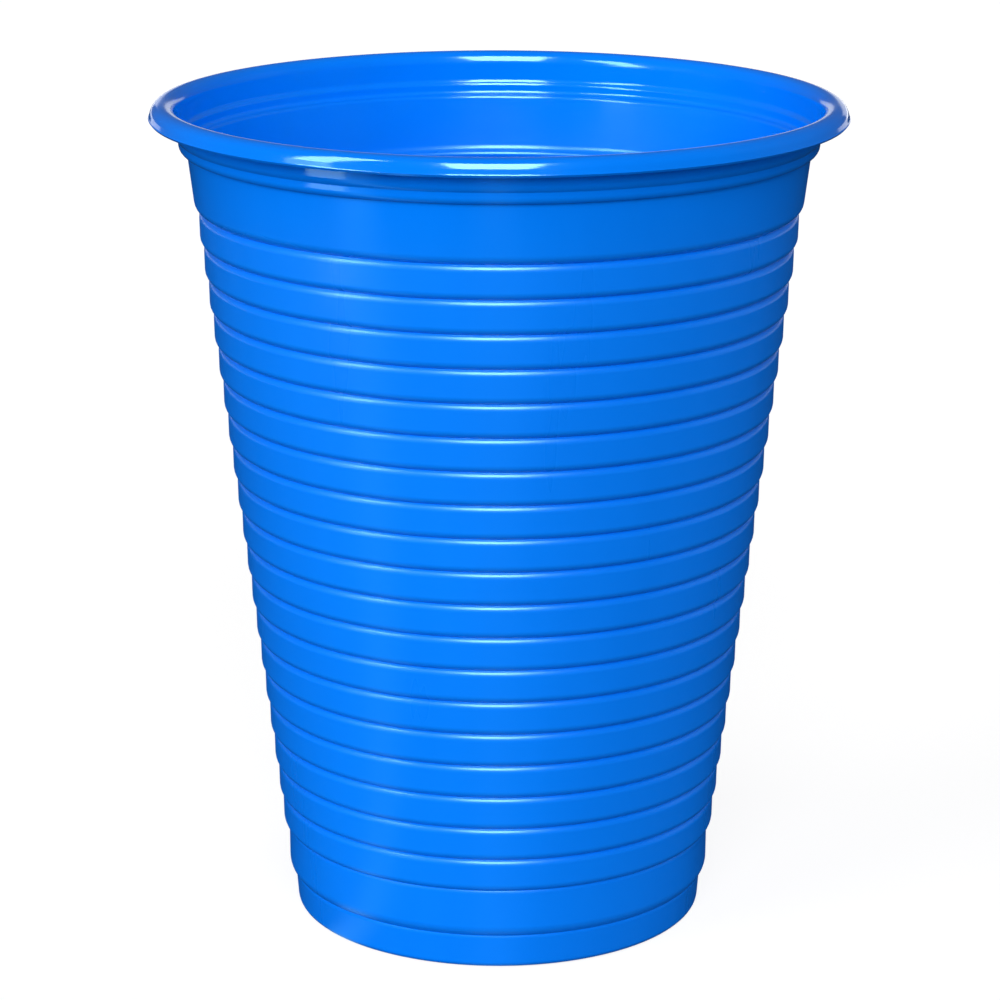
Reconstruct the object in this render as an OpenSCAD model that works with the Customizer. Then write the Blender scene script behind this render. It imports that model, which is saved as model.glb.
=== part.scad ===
// Ribbed disposable cup, formed from one thin sheet of plastic.
// The section is a chain of bends with straight stretches between them, turned about the upright axis.

/* [Sheet] */
// Thickness of the formed sheet
wall = 0.3; // [0.2:0.02:0.4]

/* [Foot] */
// Height of the foot, from the table to the lowest crease
foot_h = 3.5; // [2.8:0.1:8]
// Diameter of the wall's cone at the lowest crease
base_d = 43.8; // [36:0.1:60]
// How far the foot stands back from that cone
foot_inset = 0.45; // [0.2:0.05:0.5]
// Slope of the foot's side, in degrees
foot_slope = 4.5; // [0:0.5:10]
// Rounding of the foot's edges
foot_round = 0.7; // [0.5:0.05:0.8]
// Width of the flat ring that the cup stands on
foot_flat = 1.2; // [0.6:0.1:3]
// How far the bottom panel is lifted off the table
panel_lift = 2.2; // [1.8:0.1:4]
// Slope of the step up to the panel, in degrees off upright
step_slope = 20; // [10:1:35]
// Rounding where the step meets the panel
panel_round = 0.8; // [0.5:0.05:0.8]

/* [Wall] */
// Slope of the wall, in degrees off upright
draft = 7; // [3:0.25:12]
// Height of the plain band above the foot
low_band_h = 5.1; // [3.5:0.1:12]
// Rounding of that band's lower edge
low_band_round = 1.4; // [0.6:0.1:2]
// How far the lowest rib stands out over the band's shoulder
low_band_step = 0.4; // [0:0.05:0.5]
// Height from one rib to the next
rib_pitch = 3.45; // [2.8:0.01:6]
// Number of ribs
rib_count = 19; // [4:1:26]
// Height of the plain band above the ribs
top_band_h = 6; // [3.5:0.05:14]
// How far that band stands out over the line of the ribs
top_band_proud = 0.1; // [0:0.05:0.3]
// Rounding of that band's lower edge
top_band_round = 1.1; // [0.6:0.05:1.4]

/* [Ribs] */
// Depth of the crease between two ribs
crease_depth = 0.55; // [0.5:0.01:0.65]
// How far the lower edge of a rib stands out over the shoulder below it
rib_step = 0.19; // [0:0.01:0.3]
// Rounding of a rib's lower edge
rib_round = 0.8; // [0.6:0.05:1.1]
// Rounding of a rib's shoulder
shoulder_round = 0.8; // [0.6:0.05:1]
// Rounding at the bottom of a crease
crease_round = 0.1; // [0.08:0.01:0.2]

/* [Neck] */
// How far the band under the lip stands out from the wall
neck_proud = 0.95; // [0.8:0.05:1.6]
// Height of the neck's upright face
neck_face = 0.4; // [0.1:0.05:3]
// Rounding of the neck's lower edge
neck_low_round = 0.75; // [0.5:0.05:0.8]
// Hollow where the neck steps out to the throat
neck_hollow = 0.15; // [0.1:0.05:0.6]
// Rounding where that step turns up into the throat
throat_round = 0.9; // [0.6:0.05:2]

/* [Lip] */
// Length of the straight throat between the neck and the lip
throat_len = 1.6; // [0.6:0.05:8]
// Slope of the throat, in degrees off upright
throat_slope = 3; // [0:1:20]
// Rounding of the lip's inner edge
lip_inner_round = 1.35; // [0.6:0.05:1.6]
// Rounding of the lip's outer skirt
lip_outer_round = 1.3; // [1.2:0.05:3]
// Length of the skirt's straight stretch
skirt_len = 0.4; // [0.1:0.05:2]
// Hollow in the skirt just above the lip's cut edge
flare_round = 0.25; // [0.15:0.05:0.6]

/* [Hidden] */
cup_colour = [0.02, 0.45, 0.95];
round_steps = 96;
// Largest turn of one step along a bend, in degrees
bend_step = 22;
// Outward normals of the skin where bends of the neck and the lip meet, in degrees up from level
neck_under = -75;
neck_above = -50;
skirt_side = -165;
flare_end = -130;

function dir(a) = [cos(a), sin(a)];

// A bend is [centre, radius, first normal, last normal]. Its radius is positive where the outer skin
// bulges and negative where it is hollow. A point at depth o under the outer skin lies o further in.
function bend_point(b, a, o) = b[0] + (b[1] - o) * dir(a);
function bend_steps(b) = max(1, ceil(abs(b[3] - b[2]) / bend_step));
function bend_points(b, o) =
    let (n = bend_steps(b))
    [for (i = [0 : n]) bend_point(b, b[2] + (b[3] - b[2]) * i / n, o)];
function skin(bends, o) = [for (b = bends) each bend_points(b, o)];

// The next bend's centre when it follows a bend directly, at the normal a that they share
function next_centre(b, radius, a) = b[0] + (b[1] - radius) * dir(a);

// Height and radius of the wall's cone at the height h above the lowest crease
function on_cone(h) = [base_d / 2 + h * tan(draft), foot_h + h];

// One crease: the shoulder below it, the hollow, and the rounded edge above it. The shoulder ends
// low_in behind the cone and the edge, rounded by round, stands edge_out before it, square to the cone.
function low_turn(low_in) =
    acos((crease_round - crease_depth + shoulder_round + low_in) / (shoulder_round + crease_round));
function high_turn(edge_out, round) =
    acos((crease_round - crease_depth + round - edge_out) / (round + crease_round));
function hollow(h, low_in, last) =
    [on_cone(h) + (crease_round - crease_depth) * dir(-draft), -crease_round, low_turn(low_in) - draft, last];
function shoulder(hollow_bend, first) =
    [next_centre(hollow_bend, shoulder_round, hollow_bend[2]), shoulder_round, first, hollow_bend[2]];
function crease(h, low_in, edge_out, round) =
    let (b = hollow(h, low_in, -high_turn(edge_out, round) - draft))
    [shoulder(b, -draft), b, [next_centre(b, round, b[3]), round, b[3], -draft]];

// The foot's side leans by its own slope and ends foot_inset behind the cone
cone_crease = crease(0, foot_inset, 0, low_band_round);
foot_crease = [[for (i = [0 : 3]) i == 2 ? -foot_slope : cone_crease[0][i]], cone_crease[1], cone_crease[2]];
foot_top = bend_point(foot_crease[0], -foot_slope, 0);
foot_side = foot_top + [-(foot_top[1] - foot_round) * tan(foot_slope), -(foot_top[1] - foot_round)];
foot_edge = [[foot_side[0] - foot_round / cos(foot_slope), foot_round], foot_round, -90, -foot_slope];
ring_edge = [foot_edge[0] - [foot_flat, 0], foot_round, -180 + step_slope, -90];

// The step rises from the ring's inner edge to the lifted panel
step_low = bend_point(ring_edge, ring_edge[2], 0);
panel_side = step_low[0] - (panel_lift - step_low[1] - panel_round * (1 - sin(step_slope))) * tan(step_slope);
panel_edge = [[panel_side - panel_round * cos(step_slope), panel_lift - panel_round],
              -panel_round, -90, -180 + step_slope];

// Creases of the wall, from the low band up to the top one
low_crease = crease(low_band_h, low_band_step, 0, rib_round);
rib_creases = [for (i = [1 : rib_count - 1]) each crease(low_band_h + i * rib_pitch, rib_step, 0, rib_round)];
ribs_h = low_band_h + rib_count * rib_pitch;
top_crease = crease(ribs_h, rib_step, top_band_proud, top_band_round);
top_h = ribs_h + top_band_h;

// The neck starts at the top band, runs out under itself, stands up and steps out to the throat
neck_crease = [on_cone(top_h) + (top_band_proud + crease_round) * dir(-draft),
               -crease_round, -draft, neck_under];
neck_x = on_cone(top_h)[0] + neck_proud;
neck_start = bend_point(neck_crease, neck_under, 0);
neck_low_x = neck_x - neck_low_round;
neck_low_z = neck_start[1] - neck_low_round * sin(neck_under)
    + (neck_low_x + neck_low_round * cos(neck_under) - neck_start[0]) * tan(90 + neck_under);
neck_low = [[neck_low_x, neck_low_z], neck_low_round, neck_under, 0];
neck_top = [[neck_x + neck_hollow, neck_low_z + neck_face], -neck_hollow, 0, neck_above];
throat_bend = [next_centre(neck_top, throat_round, neck_above), throat_round, neck_above, -throat_slope];

// The throat leans out into the lip, which rolls over, hangs down as a skirt and ends in a cut edge
throat_top = bend_point(throat_bend, -throat_slope, 0) + throat_len * dir(90 - throat_slope);
lip_inner_r = wall - lip_inner_round;
lip_outer_r = wall - lip_outer_round;
lip_inner = [throat_top - lip_inner_r * dir(-throat_slope), lip_inner_r, -throat_slope, -90];
lip_outer = [next_centre(lip_inner, lip_outer_r, -90), lip_outer_r, -90, skirt_side];
flare_r = wall + flare_round;
skirt_end = bend_point(lip_outer, skirt_side, 0) + skirt_len * dir(skirt_side + 90);
lip_flare = [skirt_end - flare_r * dir(skirt_side), flare_r, skirt_side, flare_end];

cup_bends = concat([panel_edge, ring_edge, foot_edge], foot_crease, low_crease, rib_creases, top_crease,
                   [neck_crease, neck_low, neck_top, throat_bend, lip_inner, lip_outer, lip_flare]);

function reversed(list) = [for (i = [len(list) - 1 : -1 : 0]) list[i]];

module cup() {
    outer_skin = concat([[0, panel_lift]], skin(cup_bends, 0));
    inner_skin = concat([[0, panel_lift + wall]], skin(cup_bends, wall));
    color(cup_colour)
        rotate_extrude($fn = round_steps)
            polygon(concat(outer_skin, reversed(inner_skin)));
}

cup();
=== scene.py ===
import math

import bpy
import numpy as np
from mathutils import Euler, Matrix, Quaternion


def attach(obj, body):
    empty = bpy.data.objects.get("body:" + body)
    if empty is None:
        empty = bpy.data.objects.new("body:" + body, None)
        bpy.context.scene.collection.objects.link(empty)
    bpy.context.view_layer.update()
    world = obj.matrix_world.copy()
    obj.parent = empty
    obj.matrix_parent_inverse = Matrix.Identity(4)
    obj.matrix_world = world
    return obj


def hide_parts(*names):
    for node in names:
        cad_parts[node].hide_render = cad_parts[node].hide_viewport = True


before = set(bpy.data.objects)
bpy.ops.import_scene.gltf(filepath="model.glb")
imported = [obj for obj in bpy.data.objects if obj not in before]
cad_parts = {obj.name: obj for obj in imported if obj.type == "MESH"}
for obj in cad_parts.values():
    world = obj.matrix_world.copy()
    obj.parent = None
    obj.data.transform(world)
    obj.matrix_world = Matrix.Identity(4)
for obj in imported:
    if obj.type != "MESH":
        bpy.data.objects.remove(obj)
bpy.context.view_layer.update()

# The cup is one sheet of thin blue plastic, heated, drawn down into a ribbed mould and cut free under
# its rolled lip. Its section is a chain of bends with straight stretches between them. All sizes are in
# millimetres, as in the part's source, and the mesh is made in metres.
WALL = 0.3
DRAFT = math.radians(7)
DOWN = math.radians(-90)


def way(angle):
    """Unit vector at an angle in the section's plane, turned up from level: (cos a, sin a)."""
    return np.stack((np.cos(angle), np.sin(angle)), axis=-1)


def bend(centre, radius, first, last):
    """A bend is centre r and z, signed radius (+ bulges outward, - is hollow), first and last normal."""
    return [centre[0], centre[1], radius, first, last]


def next_centre(centre, radius, angle, next_radius):
    """Centre of a bend that follows another directly: both touch at the normal that they share."""
    return np.asarray(centre) + (radius - next_radius) * way(angle)


# The wall takes its ribs from grooves turned in the mould. A sharp crease lies under the plain low band,
# under each rib and under the plain top band, between the rounded shoulder of what is below it and the
# rounded edge of what is above it.
BASE_RADIUS, FOOT_HEIGHT = 21.9, 3.5
FOOT_INSET, FOOT_NORMAL = 0.45, math.radians(-4.5)
LOW_BAND, LOW_BAND_ROUND, LOW_BAND_STEP = 5.1, 1.4, 0.4
RIBS, RIB_PITCH, RIB_ROUND, RIB_STEP = 19, 3.45, 0.8, 0.19
TOP_BAND, TOP_BAND_ROUND, TOP_BAND_PROUD = 6, 1.1, 0.1
CREASE_DEPTH, CREASE_ROUND, SHOULDER_ROUND = 0.55, 0.1, 0.8
CREASES = RIBS + 2


def on_cone(height):
    """Point of the wall's cone at a height above the foot's crease: radius grows by the draft's tangent."""
    height = np.asarray(height, float)
    return np.stack((BASE_RADIUS + height * math.tan(DRAFT), FOOT_HEIGHT + height), axis=-1)


crease_height = np.concatenate(([0.0], LOW_BAND + RIB_PITCH * np.arange(CREASES - 1)))
shoulder_in = np.concatenate(([FOOT_INSET, LOW_BAND_STEP], np.full(RIBS, RIB_STEP)))
edge_round = np.concatenate(([LOW_BAND_ROUND], np.full(RIBS, RIB_ROUND), [TOP_BAND_ROUND]))
edge_out = np.concatenate((np.zeros(CREASES - 1), [TOP_BAND_PROUD]))
low_turn = np.arccos((CREASE_ROUND - CREASE_DEPTH + SHOULDER_ROUND + shoulder_in)
                     / (SHOULDER_ROUND + CREASE_ROUND))
high_turn = np.arccos((CREASE_ROUND - CREASE_DEPTH + edge_round - edge_out) / (edge_round + CREASE_ROUND))
into_hollow = low_turn - DRAFT
out_of_hollow = -high_turn - DRAFT
hollow_centre = on_cone(crease_height) + (CREASE_ROUND - CREASE_DEPTH) * way(-DRAFT)
shoulder_centre = hollow_centre - (CREASE_ROUND + SHOULDER_ROUND) * way(into_hollow)
edge_centre = hollow_centre - (CREASE_ROUND + edge_round)[:, None] * way(out_of_hollow)

# A rib's face touches the rounded edge below it and the shoulder above it, so its normal n satisfies
# (shoulder centre - edge centre) . n = edge radius - shoulder radius.
across = shoulder_centre[1:] - edge_centre[:-1]
face = (np.arctan2(across[:, 1], across[:, 0])
        - np.arccos((edge_round[:-1] - SHOULDER_ROUND) / np.hypot(*across.T)))
first_normal = np.concatenate(([FOOT_NORMAL], face))
last_normal = np.concatenate((face, [-DRAFT]))
creases = np.stack((
    np.column_stack((shoulder_centre, np.full(CREASES, SHOULDER_ROUND), first_normal, into_hollow)),
    np.column_stack((hollow_centre, np.full(CREASES, -CREASE_ROUND), into_hollow, out_of_hollow)),
    np.column_stack((edge_centre, edge_round, out_of_hollow, last_normal))), axis=1).reshape(-1, 5)

# The foot is the bottom of the same sheet, pressed round a plug: a nearly upright side, the flat ring
# that the cup stands on, and a sloping step up to the panel, which stays clear of the table.
FOOT_ROUND, RING_WIDTH = 0.7, 1.2
PANEL_LIFT, PANEL_ROUND, STEP_SLOPE = 2.2, 0.8, math.radians(20)
step_normal = STEP_SLOPE - math.pi
foot_top = shoulder_centre[0] + SHOULDER_ROUND * way(FOOT_NORMAL)
foot_x = foot_top[0] + (foot_top[1] - FOOT_ROUND) * math.tan(FOOT_NORMAL)
edge_of_foot = np.array([foot_x - FOOT_ROUND / math.cos(FOOT_NORMAL), FOOT_ROUND])
edge_of_ring = edge_of_foot - [RING_WIDTH, 0]
step_low = edge_of_ring + FOOT_ROUND * way(step_normal)
step_rise = PANEL_LIFT - step_low[1] - PANEL_ROUND * (1 - math.sin(STEP_SLOPE))
panel_x = step_low[0] - step_rise * math.tan(STEP_SLOPE)
edge_of_panel = (panel_x - PANEL_ROUND * math.cos(STEP_SLOPE), PANEL_LIFT - PANEL_ROUND)
foot = np.array([
    bend(edge_of_panel, -PANEL_ROUND, DOWN, step_normal),
    bend(edge_of_ring, FOOT_ROUND, step_normal, DOWN),
    bend(edge_of_foot, FOOT_ROUND, DOWN, FOOT_NORMAL)])

# The neck stiffens the mouth and carries the next cup of a stack: the wall turns out, bulges and steps
# out again to a nearly upright throat. The lip is rolled over from the sheet's edge while it is warm and
# hangs down as a short skirt, flared where it was cut.
NECK_PROUD, NECK_ROUND, NECK_FACE, NECK_HOLLOW = 0.95, 0.75, 0.4, 0.15
THROAT_ROUND, THROAT_LENGTH = 0.9, 1.6
LIP_IN_ROUND, LIP_OUT_ROUND, SKIRT_LENGTH, FLARE_ROUND = 1.35, 1.3, 0.4, 0.25
under, above, throat, skirt, cut = (math.radians(angle) for angle in (-75, -50, -3, -165, -130))
band_top = on_cone(crease_height[-1] + TOP_BAND)
neck_crease = band_top + (TOP_BAND_PROUD + CREASE_ROUND) * way(-DRAFT)
neck_start = neck_crease - CREASE_ROUND * way(under)
bulge_x = band_top[0] + NECK_PROUD - NECK_ROUND
under_width = bulge_x + NECK_ROUND * math.cos(under) - neck_start[0]
under_rise = under_width * math.tan(under + math.radians(90))
bulge = np.array([bulge_x, neck_start[1] + under_rise - NECK_ROUND * math.sin(under)])
step_out = bulge + [NECK_ROUND + NECK_HOLLOW, NECK_FACE]
throat_bend = next_centre(step_out, -NECK_HOLLOW, above, THROAT_ROUND)
throat_top = throat_bend + THROAT_ROUND * way(throat) + THROAT_LENGTH * way(throat + math.radians(90))
lip_in_radius, lip_out_radius, flare_radius = WALL - LIP_IN_ROUND, WALL - LIP_OUT_ROUND, WALL + FLARE_ROUND
lip_in = throat_top - lip_in_radius * way(throat)
lip_out = next_centre(lip_in, lip_in_radius, DOWN, lip_out_radius)
skirt_end = lip_out + lip_out_radius * way(skirt) + SKIRT_LENGTH * way(skirt + math.radians(90))
lip = np.array([
    bend(neck_crease, -CREASE_ROUND, -DRAFT, under),
    bend(bulge, NECK_ROUND, under, 0.0),
    bend(step_out, -NECK_HOLLOW, 0.0, above),
    bend(throat_bend, THROAT_ROUND, above, throat),
    bend(lip_in, lip_in_radius, throat, DOWN),
    bend(lip_out, lip_out_radius, DOWN, skirt),
    bend(skirt_end - flare_radius * way(skirt), flare_radius, skirt, cut)])

# The sheet keeps one thickness all the way. Its outer skin runs from the middle of the panel up to the
# cut edge, and its inner skin, one sheet's thickness under it, runs back down to the middle.
OUTER_STEPS, INNER_STEPS, LIP_STEPS = 5, 4, 9
SEGMENTS = 128


def along(bends, steps, depth):
    """Points on each bend in even steps of its turn, at centre + (radius - depth) times the normal."""
    share = np.linspace(0, 1, steps + 1)
    angle = bends[:, 3:4] + (bends[:, 4:5] - bends[:, 3:4]) * share
    points = bends[:, None, :2] + (bends[:, 2:3, None] - depth) * way(angle)
    return np.column_stack((points.reshape(-1, 2), angle.reshape(-1)))


def skin(depth, steps):
    """One side of the sheet, at a depth under its outer skin: the panel's middle, then the points along
    the bends of the foot, the creases and the lip, without a point that repeats the one before it."""
    rows = np.vstack(([[0, PANEL_LIFT + depth, DOWN]], along(foot, steps, depth),
                      along(creases, steps, depth), along(lip, LIP_STEPS, depth)))
    apart = np.hypot(*np.diff(rows[:, :2], axis=0).T) > 1e-6
    return rows[np.concatenate(([True], apart))]


outer = skin(0.0, OUTER_STEPS)
inner = skin(WALL, INNER_STEPS)[::-1] + [0, 0, math.pi]
section = np.vstack((outer, inner))
start_normal, end_normal = section[:-1, 2].copy(), section[1:, 2].copy()
cut_face = len(outer) - 1
start_normal[cut_face] = end_normal[cut_face] = cut + math.radians(90)


def turned(name, rows, first, last, segments):
    """The section turned about the upright axis: x = r cos p, y = r sin p, z. Its two ends lie on the axis
    and close as fans. Each face's corners carry the bends' own normals, so round parts shade as true arcs."""
    p = np.arange(segments) * 2 * math.pi / segments
    rings = rows[1:-1]
    ring_xyz = np.stack((rings[:, :1] * np.cos(p), rings[:, :1] * np.sin(p),
                         np.repeat(rings[:, 1:2], segments, axis=1)), axis=-1).reshape(-1, 3)
    points = np.vstack((ring_xyz, [[0, 0, rows[0, 1]], [0, 0, rows[-1, 1]]])) / 1000

    here = np.arange(segments)
    there = (here + 1) % segments
    ring = np.arange(len(rings) - 1)[:, None] * segments
    next_ring = ring + segments
    quads = np.stack((ring + here, ring + there, next_ring + there, next_ring + here), axis=-1)
    low_end, high_end, last_ring = len(ring_xyz), len(ring_xyz) + 1, (len(rings) - 1) * segments
    fan_low = np.stack((np.full(segments, low_end), there, here), axis=-1)
    fan_high = np.stack((last_ring + here, last_ring + there, np.full(segments, high_end)), axis=-1)
    loops = np.concatenate((quads.ravel(), fan_low.ravel(), fan_high.ravel()))
    sizes = np.concatenate((np.full(quads.size // 4, 4), np.full(2 * segments, 3)))

    def normal(angle, turn):
        """Normal at the section's angle a and the turn p: (cos a cos p, cos a sin p, sin a)."""
        return np.stack((np.cos(angle) * np.cos(turn), np.cos(angle) * np.sin(turn),
                         np.sin(angle) * np.ones_like(turn)), axis=-1)

    low, high, p_here, p_there = first[1:-1, None], last[1:-1, None], p[None, here], p[None, there]
    quad_normals = np.stack((normal(low, p_here), normal(low, p_there),
                             normal(high, p_there), normal(high, p_here)), axis=2)
    fan_normals = np.repeat([[0, 0, -1.0], [0, 0, 1.0]], 3 * segments, axis=0)
    corner_normals = np.vstack((quad_normals.reshape(-1, 3), fan_normals))

    mesh = bpy.data.meshes.new(name)
    mesh.vertices.add(len(points))
    mesh.vertices.foreach_set("co", points.ravel())
    mesh.loops.add(len(loops))
    mesh.loops.foreach_set("vertex_index", loops)
    mesh.polygons.add(len(sizes))
    mesh.polygons.foreach_set("loop_start", np.concatenate(([0], np.cumsum(sizes)[:-1])))
    mesh.update(calc_edges=True)
    mesh.validate()
    mesh.shade_smooth()
    mesh.normals_split_custom_set(corner_normals)
    piece = bpy.data.objects.new(name, mesh)
    bpy.context.scene.collection.objects.link(piece)
    return piece


cup = turned("ribbed_cup", section, start_normal, end_normal, SEGMENTS)

# The plastic is dyed through and glossy. Drawing it down has thinned the wall unevenly, which shows as
# faint upright streaks and clouds in the colour and the gloss. The lip, which was hardly drawn, is the
# smoothest part.
plastic = bpy.data.materials.new("glossy_blue_plastic")
plastic.use_nodes = True
nodes, links = plastic.node_tree.nodes, plastic.node_tree.links
shader = nodes["Principled BSDF"]
place = nodes.new("ShaderNodeTexCoord")
stretch = nodes.new("ShaderNodeMapping")
stretch.inputs["Scale"].default_value = (1.0, 1.0, 0.12)
links.new(place.outputs["Object"], stretch.inputs["Vector"])
streaks = nodes.new("ShaderNodeTexNoise")
streaks.inputs["Scale"].default_value = 160
streaks.inputs["Detail"].default_value = 3
links.new(stretch.outputs["Vector"], streaks.inputs["Vector"])
clouds = nodes.new("ShaderNodeTexNoise")
clouds.inputs["Scale"].default_value = 45
links.new(place.outputs["Object"], clouds.inputs["Vector"])
blend = nodes.new("ShaderNodeMix")
blend.inputs["Factor"].default_value = 0.5
links.new(streaks.outputs["Fac"], blend.inputs["A"])
links.new(clouds.outputs["Fac"], blend.inputs["B"])
colour = nodes.new("ShaderNodeValToRGB")
colour.color_ramp.elements[0].position = 0.3
colour.color_ramp.elements[0].color = (0.0, 0.19, 0.89, 1)
colour.color_ramp.elements[1].position = 0.7
colour.color_ramp.elements[1].color = (0.0, 0.204, 0.94, 1)
links.new(blend.outputs["Result"], colour.inputs["Fac"])
links.new(colour.outputs["Color"], shader.inputs["Base Color"])

streak_roughness = nodes.new("ShaderNodeMapRange")
streak_roughness.inputs["From Min"].default_value = 0.3
streak_roughness.inputs["From Max"].default_value = 0.7
streak_roughness.inputs["To Min"].default_value = 0.09
streak_roughness.inputs["To Max"].default_value = 0.12
links.new(streaks.outputs["Fac"], streak_roughness.inputs["Value"])
height = nodes.new("ShaderNodeSeparateXYZ")
links.new(place.outputs["Object"], height.inputs["Vector"])
wall_roughness = nodes.new("ShaderNodeMapRange")
wall_roughness.inputs["From Min"].default_value = 0.074
wall_roughness.inputs["From Max"].default_value = 0.082
wall_roughness.inputs["To Min"].default_value = 0.18
wall_roughness.inputs["To Max"].default_value = 0.0
links.new(height.outputs["Z"], wall_roughness.inputs["Value"])
roughness = nodes.new("ShaderNodeMath")
roughness.operation = "ADD"
links.new(streak_roughness.outputs["Result"], roughness.inputs[0])
links.new(wall_roughness.outputs["Result"], roughness.inputs[1])
links.new(roughness.outputs["Value"], shader.inputs["Roughness"])
shader.inputs["Specular Tint"].default_value = (0.42, 0.88, 1.0, 1)
cup.data.materials.append(plastic)
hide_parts("cup")
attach(cup, "root")

# The studio's floor is one white, matt sheet of paper that runs back out of the picture. It lies a hair
# under the cup. The camera, gloss and glass see it as white with the cup's soft shadow; for the light
# that it gives back to the cup it is a mid grey.
FLOOR_HALF, FLOOR_Z = 3, -5e-5
floor_mesh = bpy.data.meshes.new("floor")
floor_mesh.from_pydata([(-FLOOR_HALF, -FLOOR_HALF, FLOOR_Z), (FLOOR_HALF, -FLOOR_HALF, FLOOR_Z),
                        (FLOOR_HALF, FLOOR_HALF, FLOOR_Z), (-FLOOR_HALF, FLOOR_HALF, FLOOR_Z)],
                       [], [(0, 1, 2, 3)])
floor = bpy.data.objects.new("floor", floor_mesh)
bpy.context.scene.collection.objects.link(floor)
paper = bpy.data.materials.new("white_paper")
paper.use_nodes = True
nodes, links = paper.node_tree.nodes, paper.node_tree.links
nodes.remove(nodes["Principled BSDF"])
matt = nodes.new("ShaderNodeBsdfDiffuse")
matt.inputs["Color"].default_value = (0.25, 0.25, 0.25, 1)
white = nodes.new("ShaderNodeEmission")
white.inputs["Strength"].default_value = 0.85
seen = nodes.new("ShaderNodeAddShader")
links.new(matt.outputs["BSDF"], seen.inputs[0])
links.new(white.outputs["Emission"], seen.inputs[1])
ray = nodes.new("ShaderNodeLightPath")
camera_or_gloss = nodes.new("ShaderNodeMath")
camera_or_gloss.operation = "MAXIMUM"
links.new(ray.outputs["Is Camera Ray"], camera_or_gloss.inputs[0])
links.new(ray.outputs["Is Glossy Ray"], camera_or_gloss.inputs[1])
or_glass = nodes.new("ShaderNodeMath")
or_glass.operation = "MAXIMUM"
links.new(camera_or_gloss.outputs["Value"], or_glass.inputs[0])
links.new(ray.outputs["Is Transmission Ray"], or_glass.inputs[1])
choose = nodes.new("ShaderNodeMixShader")
links.new(or_glass.outputs["Value"], choose.inputs["Fac"])
links.new(matt.outputs["BSDF"], choose.inputs[1])
links.new(seen.outputs["Shader"], choose.inputs[2])
links.new(choose.outputs["Shader"], nodes["Material Output"].inputs["Surface"])
floor.data.materials.append(paper)

# A round dark card lies under and round the cup and shows only in its gloss. It keeps the white floor out of
# the reflections, so that the plastic's edges stay dark, as in the photograph. Two stripes on it glow, one to
# the left and one straight ahead, and their reflections are painted highlights: the wall's faint upright
# streaks.
CARD_RADIUS, CARD_Z, CARD_CORNERS = 0.9, -2e-5, 64
card_mesh = bpy.data.meshes.new("dark_card")
turn = np.arange(CARD_CORNERS) * 2 * math.pi / CARD_CORNERS
corners = np.column_stack((np.cos(turn) * CARD_RADIUS, np.sin(turn) * CARD_RADIUS,
                           np.full(CARD_CORNERS, CARD_Z)))
card_mesh.from_pydata(corners.tolist(), [], [list(range(CARD_CORNERS))])
card = bpy.data.objects.new("dark_card", card_mesh)
bpy.context.scene.collection.objects.link(card)
striped = bpy.data.materials.new("dark_card")
striped.use_nodes = True
nodes, links = striped.node_tree.nodes, striped.node_tree.links
nodes.remove(nodes["Principled BSDF"])
place = nodes.new("ShaderNodeTexCoord")
apart = nodes.new("ShaderNodeSeparateXYZ")
links.new(place.outputs["Object"], apart.inputs["Vector"])
front = nodes.new("ShaderNodeMath")
front.operation = "MULTIPLY"
front.inputs[1].default_value = -1
links.new(apart.outputs["Y"], front.inputs[0])
azimuth = nodes.new("ShaderNodeMath")
azimuth.operation = "ARCTAN2"
links.new(apart.outputs["X"], azimuth.inputs[0])
links.new(front.outputs["Value"], azimuth.inputs[1])
share = nodes.new("ShaderNodeMapRange")
share.inputs["From Min"].default_value = -math.pi
share.inputs["From Max"].default_value = math.pi
links.new(azimuth.outputs["Value"], share.inputs["Value"])
stripes = nodes.new("ShaderNodeValToRGB")
stripes.color_ramp.interpolation = "EASE"
# Painted highlights: the two glowing stripes, which the wall reflects as faint upright streaks.
for degrees, shade in ((-62, 0.02), (-50, 1.0), (-38, 0.02), (-14, 0.02), (-1, 0.5), (12, 0.02)):
    stop = stripes.color_ramp.elements.new((degrees + 180) / 360)
    stop.color = (0.35 * shade, 0.8 * shade, shade, 1)
for stop in (stripes.color_ramp.elements[0], stripes.color_ramp.elements[-1]):
    stop.color = (0.007, 0.016, 0.02, 1)
links.new(share.outputs["Result"], stripes.inputs["Fac"])
glow = nodes.new("ShaderNodeEmission")
glow.inputs["Strength"].default_value = 1.2
links.new(stripes.outputs["Color"], glow.inputs["Color"])
links.new(glow.outputs["Emission"], nodes["Material Output"].inputs["Surface"])
card.data.materials.append(striped)
card.visible_camera = card.visible_diffuse = card.visible_shadow = card.visible_transmission = False

# A little even light from all round stands for the room. Beyond the paper the camera sees plain white.
world = bpy.data.worlds.new("room")
world.use_nodes = True
nodes, links = world.node_tree.nodes, world.node_tree.links
nodes["Background"].inputs["Color"].default_value = (1, 1, 1, 1)
ray = nodes.new("ShaderNodeLightPath")
brightness = nodes.new("ShaderNodeMapRange")
brightness.inputs["To Min"].default_value = 0.1
brightness.inputs["To Max"].default_value = 1.0
links.new(ray.outputs["Is Camera Ray"], brightness.inputs["Value"])
links.new(brightness.outputs["Result"], nodes["Background"].inputs["Strength"])
bpy.context.scene.world = world

# The studio light is plain and soft. Three wide suns colour the cup from the front, the left and the
# right. Four boxes, seen only in its gloss, put the highlights on the lip and on the ribs' shoulders.
LAMP_AIM_Z = 0.06


def toward(azimuth, elevation):
    """Direction from the cup at an azimuth a, in degrees to the right of the camera's side, and an
    elevation e above level: (cos e sin a, -cos e cos a, sin e)."""
    a, e = math.radians(azimuth), math.radians(elevation)
    return np.array([math.cos(e) * math.sin(a), -math.cos(e) * math.cos(a), math.sin(e)])


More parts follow.
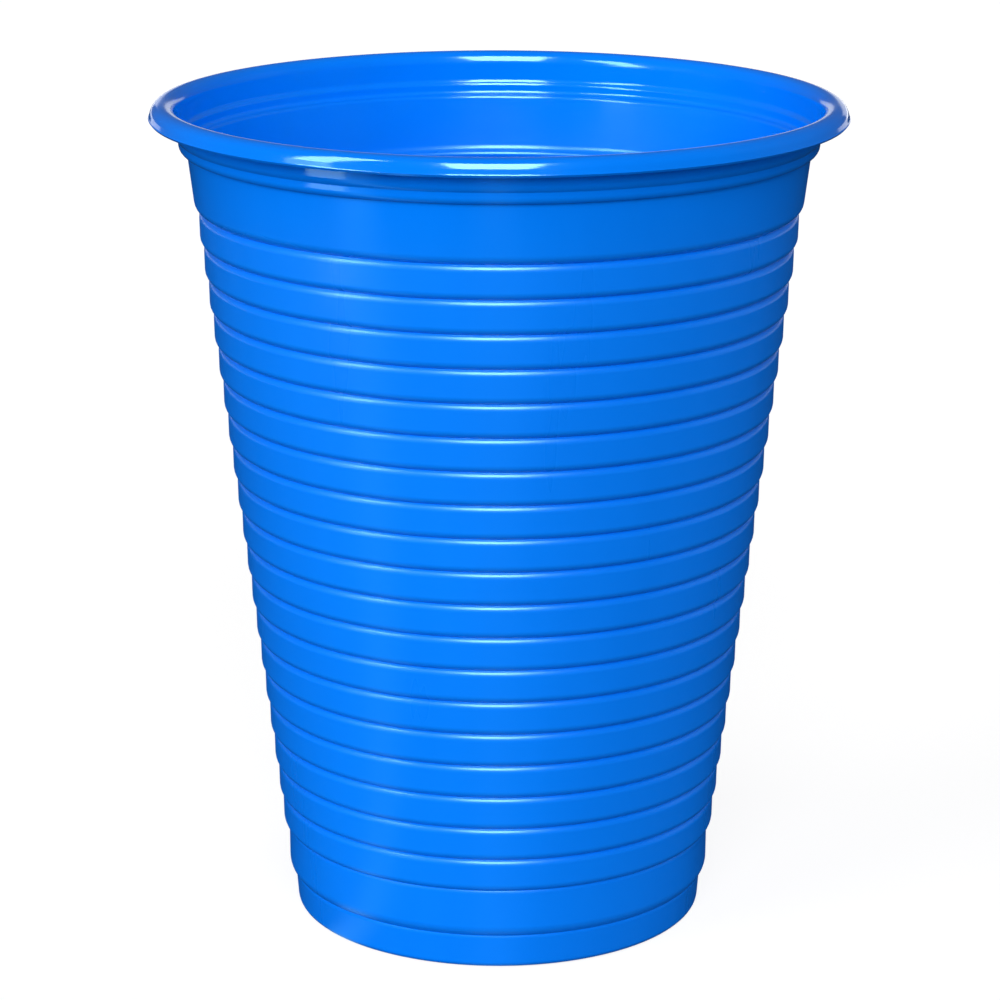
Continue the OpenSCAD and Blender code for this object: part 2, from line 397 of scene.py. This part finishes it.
def lamp(name, kind, azimuth, elevation, distance, gloss):
    """A lamp at a distance along toward(azimuth, elevation) from a point high in the cup, which it faces.
    It lights only the cup's gloss or only its colour."""
    light = bpy.data.lights.new(name, kind)
    piece = bpy.data.objects.new(name, light)
    piece.location = toward(azimuth, elevation) * distance + [0, 0, LAMP_AIM_Z]
    piece.rotation_euler = (math.radians(90 - elevation), 0, math.radians(azimuth))
    piece.visible_camera = False
    piece.visible_diffuse = not gloss
    piece.visible_glossy = gloss
    bpy.context.scene.collection.objects.link(piece)
    return light


def softbox(name, azimuth, elevation, width, height, radiance, distance=1.0):
    """A rectangular lamp for highlights. Its power is radiance times pi times its area."""
    light = lamp(name, "AREA", azimuth, elevation, distance, gloss=True)
    light.shape = "RECTANGLE"
    light.size, light.size_y = width, height
    light.energy = radiance * math.pi * width * height


def soft_sun(name, azimuth, elevation, level):
    """A far, wide lamp for colour. Its strength is pi times the level that a facing white surface shows."""
    light = lamp(name, "SUN", azimuth, elevation, 1.0, gloss=False)
    light.angle = math.radians(40)
    light.energy = math.pi * level


softbox("centre_box", -2.6, 49, 0.42, 0.8, 28)
softbox("left_box", -56, 41, 0.03, 0.1, 18, distance=0.145)
softbox("left_low", -54, 12, 0.026, 0.06, 4, distance=0.11)
softbox("back_panel", 176, 3, 0.7, 0.22, 0.8)
soft_sun("key", 0, 26, 0.77)
soft_sun("left_fill", -60, 22, 0.53)
soft_sun("right_fill", 110, 22, 0.235)

# The camera stands where the photograph was taken from: a little above the lip, looking down at the cup
# and rolled by a hair. Its place, lens and angles, in radians, were fitted to the photograph's outline.
tilt_down, yaw, roll = 0.26903, -1.48 / 3589, 0.00201
camera = bpy.data.objects.new("camera", bpy.data.cameras.new("camera"))
camera.data.sensor_width = 36
camera.data.lens = 129.2
camera.data.clip_start = 0.01
camera.location = (0, -0.35841, 0.14207)
camera.rotation_mode = "QUATERNION"
facing = Euler((math.pi / 2 - tilt_down, 0, yaw)).to_quaternion()
camera.rotation_quaternion = facing @ Quaternion((0, 0, 1), roll)
bpy.context.scene.collection.objects.link(camera)
bpy.context.scene.camera = camera
bpy.context.scene.view_settings.view_transform = "Standard"
